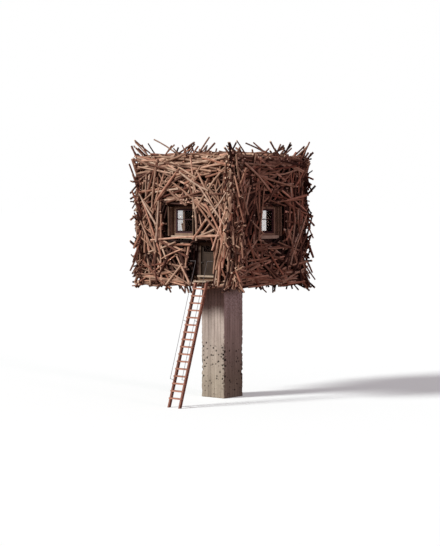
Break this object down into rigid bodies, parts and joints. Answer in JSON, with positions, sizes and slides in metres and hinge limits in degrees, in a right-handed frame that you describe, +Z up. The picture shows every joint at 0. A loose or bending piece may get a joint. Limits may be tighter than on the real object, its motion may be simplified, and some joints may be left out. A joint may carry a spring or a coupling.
{
  "type": "tree house",
  "caption": "Timber cabin wrapped in a thick nest of woven sticks, raised on one square concrete pillar and reached by a steep ladder with thin handrails.",
  "frame": {"origin": "middle of the pillar's foot, on the ground", "axes": "+Z up, -Y out of the front wall with the door, +X to the right as the front is seen from outside"},
  "size_m": [6.1094, 7.1572, 10.8948],
  "materials": {
    "concrete": "board-marked concrete, weathered",
    "structural_timber": "sawn, weathered",
    "floor_boards": "sawn boards",
    "wall_boards": "dark stained boards",
    "window_frame": "weathered grey-brown",
    "window_sash": "dark painted",
    "window_sill": "weathered pale",
    "glass": "clear",
    "door_timber": "dark stained",
    "hardware": "black iron, satin",
    "sticks": "bark-free round sticks, dry",
    "ladder_timber": "red-brown, worn",
    "steel_rod": "dull galvanised"
  },
  "bodies": {
    "house": {"pillar": "concrete", "bearers": "structural_timber", "floor_joists": "structural_timber", "floor_deck": "floor_boards", "front_wall_left": "wall_boards", "front_wall_right": "wall_boards", "front_wall_over_door": "wall_boards", "right_wall": "wall_boards", "back_wall": "wall_boards", "left_wall": "wall_boards", "roof_joists": "structural_timber", "roof_deck": "floor_boards", "window_frames": "window_frame", "window_sashes": "window_sash", "window_panes": "glass", "window_sills": "window_sill", "door_frame": "window_frame", "door_stops": "window_frame", "threshold": "window_sill", "hinge_pins": "hardware", "front_nest": "sticks", "right_nest": "sticks", "back_nest": "sticks", "left_nest": "sticks", "roof_nest": "sticks", "under_nest": "sticks", "front_logs": "sticks", "right_logs": "sticks", "back_logs": "sticks", "left_logs": "sticks", "roof_logs": "sticks", "under_logs": "sticks", "landing": "ladder_timber", "stringer_left": "ladder_timber", "stringer_right": "ladder_timber", "ladder_treads": "ladder_timber", "handrail_left": "steel_rod", "handrail_right": "steel_rod"},
    "door": {"door_leaf": "door_timber", "door_pane": "glass", "door_knob": "hardware", "hinge_sleeves": "hardware"}
  },
  "joints": [
    {"name": "door_hinge", "type": "hinge", "parent": "house", "child": "door", "pos_m": [1.403, -1.95, 5.876], "axis": [0, 0, -1], "range_deg": [0, 100]}
  ]
}
